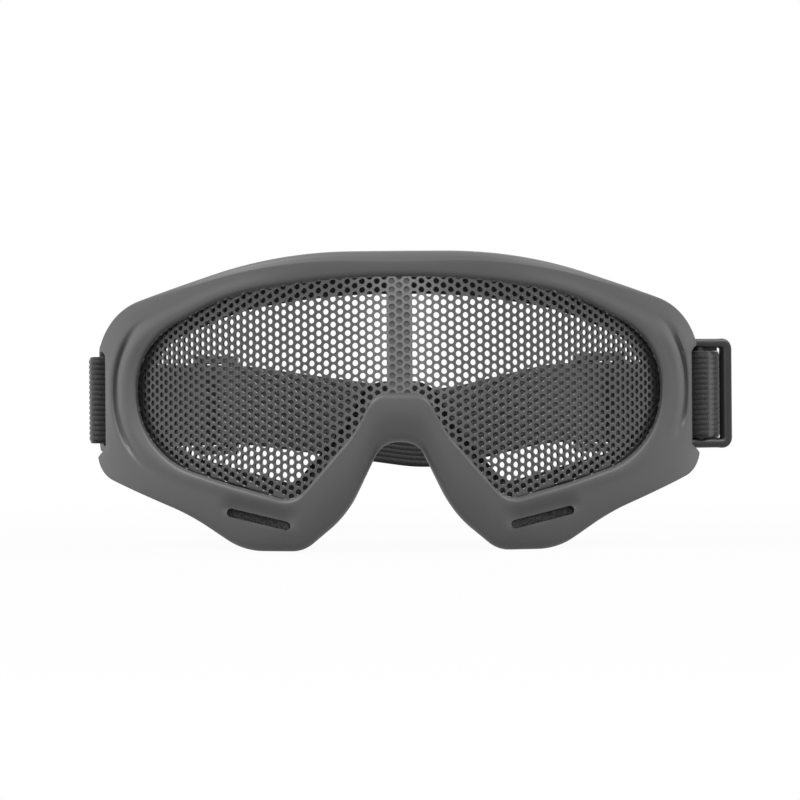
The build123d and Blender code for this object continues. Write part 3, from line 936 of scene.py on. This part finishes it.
def make_clip(side, material):
    """A strap clip: a rounded loop on its hinge, with an inner bar for the webbing."""
    top = clip_high - clip_arm / 2
    bottom = clip_low + clip_arm / 2
    far = clip_reach - outer_bar_width / 2
    corners = [(clip_arm_start, top), (far, top), (far, bottom), (clip_arm_start, bottom)]
    line = path_in_plan(corners, [clip_corner_round - clip_arm / 2] * 2, clip_step)

    def sizes_at(point):
        share = smooth_step(far - clip_bar_ease, far, point.x)
        return (clip_arm + (outer_bar_width - clip_arm) * share,
                clip_depth + (outer_bar_depth - clip_depth) * share, clip_bar_round)

    low, high = clip_low + clip_bar_sunk, clip_high - clip_bar_sunk
    bar = [(clip_bar_core, low), (inner_bar_radius, low),
           (inner_bar_radius, high), (clip_bar_core, high)]
    meshes = [swept_bar(line, sizes_at), lathed(bar, inner_bar_reach),
              lathed(eye_profile(clip_low, clip_low + clip_arm), 0),
              lathed(eye_profile(clip_high - clip_arm, clip_high), 0)]
    lip_y = clip_depth / 2 - clip_lip_inset
    for edge, gap, way, end in ((top - clip_arm / 2, clip_gap_above, -1, far - clip_top_lip_short),
                                (bottom + clip_arm / 2, clip_gap_below, 1, far)):
        first = edge - way * clip_lip_rooted
        last = edge + way * (gap - clip_lip_spare)
        start = (clip_depth / 2 + clip_lip_start, lip_y - clip_lip_thickness, min(first, last))
        meshes.append(block_mesh(start, (end, lip_y, max(first, last))))
    place = Matrix.Translation(Vector((hinge_x, hinge_y, 0)) * mm)
    place = place @ Matrix.Rotation(math.radians(swing[side]), 4, "Z")
    place = Matrix.Diagonal((side_sign[side], 1, 1, 1)) @ place
    for mesh in meshes:
        mesh.transform(place)
    mesh = merged("clip_loop_" + side, meshes)
    piece = finished("clip_loop_" + side, mesh, material, sharp=40)
    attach(piece, "clip_" + side)
    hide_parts("clip_" + side)


def thread_mesh(points):
    """A thin thread through points."""
    rows = []
    for k, point in enumerate(points):
        heading = heading_at(points, k)
        across = heading.orthogonal().normalized()
        if k and across.dot(last_across) < 0:
            across = -across
        other = heading.cross(across)
        last_across = across
        turns = [math.tau * j / thread_sides for j in range(thread_sides)]
        rows.append([point + across * thread_radius * math.cos(turn)
                     + other * thread_radius * math.sin(turn) for turn in turns])
    return skinned("thread", rows)


def make_tack(side, material):
    """Two rows of zigzag stitching through the turned-back end of the webbing."""
    start, heading, inward = shoulder_run(side)
    spot = start + heading * slider_along
    face = layer_pitch + tail_turn + strap_thickness / 2
    meshes = []
    for row in (0, 1):
        middle = -slider_bar_width - tack_width - row * tack_spacing
        points = []
        for k in range(int(tack_height / stitch_pitch) * 4 + 1):
            zigzag = 4 * abs((k / 4) % 1.0 - 0.5) - 1
            lift = stitch_rise if abs(zigzag) < stitch_turn else -stitch_sink
            plan = spot + heading * (middle + tack_width / 2 * zigzag) + inward * (face + lift)
            z = loop_height - tack_height / 2 + stitch_pitch * k / 4
            points.append(Vector((side_sign[side] * plan.x, plan.y, z)))
        meshes.append(thread_mesh(points))
    mesh = merged("stitches_" + side, meshes)
    piece = finished("stitches_" + side, mesh, material, sharp=60)
    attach(piece, "slider_" + side)
    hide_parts("bar_tack_" + side)


def make_vent_foam(side, material):
    """The foam pad behind one cheek vent, eased at its back."""
    layers = [slot_ring(side_sign[side], vent_foam_length - 2 * shrink,
                        vent_foam_height - 2 * shrink, 0.0, rim_thickness + foam_glue + depth)
              for shrink, depth in vent_foam_layers]
    mesh = merged("vent_pad_" + side, [skinned("vent_pad_" + side, layers)])
    piece = finished("vent_pad_" + side, mesh, material, sharp=60)
    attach(piece, "root")
    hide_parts("vent_foam_" + side)


# Materials


def grey(value):
    """A neutral colour."""
    return (value, value, value, 1)


def add_node(tree, kind, inputs, **settings):
    """A shader node with its settings, and the inputs that are named or numbered linked or set."""
    node = tree.nodes.new("ShaderNode" + kind)
    for name, value in settings.items():
        setattr(node, name, value)
    for name, value in inputs.items():
        if isinstance(value, bpy.types.NodeSocket):
            tree.links.new(value, node.inputs[name])
        else:
            node.inputs[name].default_value = value
    return node


def maths(tree, operation, *values):
    """One sum on sockets or numbers."""
    return add_node(tree, "Math", dict(enumerate(values)), operation=operation).outputs[0]


def new_material(name, value, roughness, specular, metallic=0.0, sheen=0.0):
    """A grey material and its nodes, with what is the same all over set on the shader."""
    material = bpy.data.materials.new(name)
    material.use_nodes = True
    tree = material.node_tree
    shader = tree.nodes["Principled BSDF"]
    for word, setting in (("Base Color", grey(value)), ("Roughness", roughness),
                          ("Specular IOR Level", specular), ("Metallic", metallic),
                          ("Sheen Weight", sheen), ("Sheen Roughness", sheen_roughness)):
        shader.inputs[word].default_value = setting
    return material, tree, shader


def own_place(tree):
    """The object's own coordinates, in metres."""
    return add_node(tree, "TexCoord", {}).outputs["Object"]


def add_noise(tree, scale, detail=3.0):
    """Noise with so many waves to a metre."""
    values = {"Vector": own_place(tree), "Scale": scale, "Detail": detail,
              "Roughness": noise_roughness}
    return add_node(tree, "TexNoise", values).outputs["Fac"]


def vary_colour(tree, shader, factor, dark, light):
    """The base colour runs between two greys with a factor."""
    mix = add_node(tree, "Mix", {0: factor, 6: grey(dark), 7: grey(light)}, data_type="RGBA")
    tree.links.new(mix.outputs[2], shader.inputs["Base Color"])


def vary_roughness(tree, shader, factor, low, high):
    """The roughness runs between two numbers with a factor."""
    span = add_node(tree, "MapRange", {"Value": factor, "To Min": low, "To Max": high})
    tree.links.new(span.outputs["Result"], shader.inputs["Roughness"])


def add_bump(tree, shader, height, strength, distance):
    """Bump from a height."""
    bump = add_node(tree, "Bump", {"Height": height, "Strength": strength, "Distance": distance})
    tree.links.new(bump.outputs["Normal"], shader.inputs["Normal"])


def moulded_plastic(name, value, roughness):
    """Moulded polymer with a fine grain and a faint cloudiness."""
    material, tree, shader = new_material(name, value, roughness, specular=0.35)
    cloud = add_noise(tree, 35.0, detail=4.0)
    vary_colour(tree, shader, cloud, value * (1 - plastic_cloud), value * (1 + plastic_cloud))
    vary_roughness(tree, shader, cloud, roughness - plastic_gloss, roughness + plastic_gloss)
    grain = add_noise(tree, plastic_grain, detail=2.0)
    add_bump(tree, shader, grain, strength=0.12, distance=0.00012)
    return material


def coated_steel():
    """Perforated steel with a dark satin finish."""
    material, tree, shader = new_material(
        "coated_steel", 0.095, 0.32, specular=0.5, metallic=0.75)
    cloud = add_noise(tree, 60.0, detail=4.0)
    vary_colour(tree, shader, cloud, 0.083, 0.107)
    vary_roughness(tree, shader, cloud, 0.28, 0.36)
    add_bump(tree, shader, add_noise(tree, 4200.0, detail=2.0), strength=0.15, distance=0.00008)
    return material


def dress(node, material):
    """Gives a CAD node its material."""
    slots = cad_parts[node].data.materials
    slots.clear()
    slots.append(material)


def woven_elastic():
    """Dark elastic webbing: crosswise threads that alternate from rib to rib, with painted shade
    between the ribs.
    """
    material, tree, shader = new_material("woven_elastic", 0.085, 0.85, specular=0.2, sheen=0.25)
    run = add_node(tree, "Attribute", {}, attribute_name="run")
    place = add_node(tree, "SeparateXYZ", {0: run.outputs["Vector"]}).outputs
    rib = maths(tree, "DIVIDE", place["Y"], rib_pitch * mm)
    odd = maths(tree, "MODULO", maths(tree, "FLOOR", rib), 2.0)
    phase = maths(tree, "MULTIPLY", odd, math.pi)
    turn = maths(tree, "MULTIPLY", place["X"], math.tau / (thread_pitch * mm))
    wave = maths(tree, "SINE", maths(tree, "ADD", turn, phase))
    thread = maths(tree, "MULTIPLY_ADD", wave, 0.5, 0.5)
    fuzz = add_noise(tree, 1500.0)
    height = maths(tree, "ADD", thread, maths(tree, "MULTIPLY", fuzz, 0.8))
    add_bump(tree, shader, height, strength=0.25, distance=0.00015)
    # Painted shade: the valleys between the ribs are darker, down to 0.3 of the ribs' tops, and
    # the threads' crests a little lighter than their dips; the fuzz is random tone.
    rise = add_node(tree, "MapRange", {
        "Value": maths(tree, "ABSOLUTE", place["Z"]), "To Min": 0.3,
        "From Min": (strap_thickness / 2 - rib_depth) * mm, "From Max": strap_thickness / 2 * mm})
    thread_shade_and_fuzz = maths(tree, "ADD", maths(tree, "MULTIPLY", thread, 0.15), fuzz)
    vary_colour(tree, shader, maths(tree, "MULTIPLY", rise.outputs["Result"], thread_shade_and_fuzz), 0.013, 0.074)
    return material


def velour_foam(name, painted_light_gain):
    """Black foam with a soft, finely pitted face; its pits are darker, as painted shade, and a
    gain above 1 paints the same foam lighter, as painted light.
    """
    material, tree, shader = new_material(name, 0.04 * painted_light_gain, 0.95, specular=0.15)
    cells = add_node(tree, "TexVoronoi", {"Vector": own_place(tree), "Scale": 1250.0})
    cells = cells.outputs["Distance"]
    cloud = add_noise(tree, 60.0, detail=5.0)
    height = maths(tree, "ADD", cells, maths(tree, "MULTIPLY", add_noise(tree, 700.0), 0.6))
    add_bump(tree, shader, height, strength=0.8, distance=0.00035)
    # Painted shade: darker in the pits, where the cells' distance is small, and darker at random
    # with the cloud.
    pit_shade_and_cloud = maths(tree, "MULTIPLY", cells, cloud)
    vary_colour(tree, shader, pit_shade_and_cloud, 0.02 * painted_light_gain, 0.09 * painted_light_gain)
    return material


def plain_thread():
    """Stitching thread, a little lighter than the webbing."""
    material, tree, shader = new_material("thread", 0.12, 0.7, specular=0.3, sheen=0.2)
    add_bump(tree, shader, add_noise(tree, 3000.0, detail=2.0), strength=0.3, distance=0.0001)
    return material


# Stage


def background_rays(tree):
    """1 for the rays that show the background: the camera's own, mirrored, or through glass."""
    path = add_node(tree, "LightPath", {}).outputs
    mirrored = maths(tree, "MAXIMUM", path["Is Camera Ray"], path["Is Glossy Ray"])
    return maths(tree, "MAXIMUM", mirrored, path["Is Transmission Ray"])


def make_floor():
    """A pale floor at the resting plane. It shows as white, nearly so close to the object."""
    mesh = bpy.data.meshes.new("floor")
    corners = [(-floor_half, -floor_half, 0), (floor_half, -floor_half, 0),
               (floor_half, floor_half, 0), (-floor_half, floor_half, 0)]
    mesh.from_pydata(corners, [], [(0, 1, 2, 3)])
    material, tree, shader = new_material("floor", floor_grey, 0.9, specular=0.0)
    away = add_node(tree, "VectorMath", {0: own_place(tree)}, operation="LENGTH")
    share = add_node(tree, "MapRange", {
        "Value": away.outputs["Value"], "To Min": floor_white_share, "To Max": 1.0,
        "From Min": floor_shade_span[0], "From Max": floor_shade_span[1]},
        interpolation_type="SMOOTHSTEP")
    white = add_node(tree, "Emission", {"Strength": 1.0})
    seen = maths(tree, "MULTIPLY", background_rays(tree), share.outputs["Result"])
    mix = add_node(tree, "MixShader", {0: seen, 1: shader.outputs[0], 2: white.outputs[0]})
    tree.links.new(mix.outputs[0], tree.nodes["Material Output"].inputs["Surface"])
    mesh.materials.append(material)
    new_object("floor", mesh)


def make_world():
    """Soft even light from all round, and a white background."""
    world = bpy.data.worlds.new("studio")
    world.use_nodes = True
    tree = world.node_tree
    tree.nodes.clear()
    soft = add_node(tree, "Background", {"Color": grey(1), "Strength": world_strength})
    white = add_node(tree, "Background", {"Color": grey(1), "Strength": 1.0})
    rays = background_rays(tree)
    mix = add_node(tree, "MixShader", {0: rays, 1: soft.outputs[0], 2: white.outputs[0]})
    add_node(tree, "OutputWorld", {"Surface": mix.outputs[0]})
    bpy.context.scene.world = world


def area_light(name, place, target, size, power):
    """A soft light that faces a point."""
    data = bpy.data.lights.new(name, "AREA")
    data.shape = "RECTANGLE"
    data.size, data.size_y = size
    data.energy = power
    lamp = new_object(name, data)
    lamp.location = place
    lamp.rotation_euler = (Vector(target) - Vector(place)).to_track_quat("-Z", "Y").to_euler()


def make_camera():
    """The photograph's camera: level, straight on, a long lens."""
    data = bpy.data.cameras.new("camera")
    data.sensor_width = sensor
    data.lens = focal_px / image_px * sensor
    camera = new_object("camera", data)
    camera.location = (camera_side, -camera_distance, camera_height)
    yaw = math.atan2(camera_side, camera_distance)
    camera.rotation_euler = (math.radians(90), camera_roll, yaw)
    bpy.context.scene.camera = camera


# Scene

clip_plastic = moulded_plastic("clip_plastic", 0.022, 0.42)
slider_plastic = moulded_plastic("slider_plastic", 0.06, 0.5)
steel = coated_steel()
# The vent pads get the face foam's own material, painted 2.4 times lighter: painted light in the
# vent slots.
vent_foam = velour_foam("vent_foam", 2.4)
stitch_thread = plain_thread()
webbing = woven_elastic()

make_sheet(steel)
make_frame(moulded_plastic("frame_plastic", 0.082, 0.5))
# Painted reflection: the brace is a light matte grey that stands in for the front light its face
# reflects behind the holes.
dress("centre_brace", moulded_plastic("brace_plastic", 0.175, 0.5))
for word in ("left", "right"):
    make_clip(word, clip_plastic)
    dress("slider_" + word, slider_plastic)
    dress("hinge_pin_" + word, steel)
    make_vent_foam(word, vent_foam)
    make_tack(word, stitch_thread)
    make_lead(word, webbing)
    make_tail(word, webbing)
make_face_foam(velour_foam("velour_foam", 1.0))
make_band(webbing)

make_floor()
make_world()
# Each lamp's place, the point that it faces, its size and its power
area_light("front", (0.03, -1.15, 0.5), (0, 0.03, 0.04), (0.5, 0.7), 6.3)
area_light("left", (-0.85, -0.05, 0.9), (-0.05, 0.05, 0.04), (0.5, 0.6), 12.5)
area_light("right", (0.85, -0.05, 0.9), (0.05, 0.05, 0.04), (0.5, 0.6), 10.5)
area_light("top", (-0.35, -0.4, 1.2), (0, 0.05, 0.04), (0.9, 0.7), 5.0)
area_light("back", (0.3, 1.3, 0.9), (0, 0.1, 0.04), (1.6, 0.9), 5.0)
make_camera()

bpy.context.scene.view_settings.view_transform = "Standard"
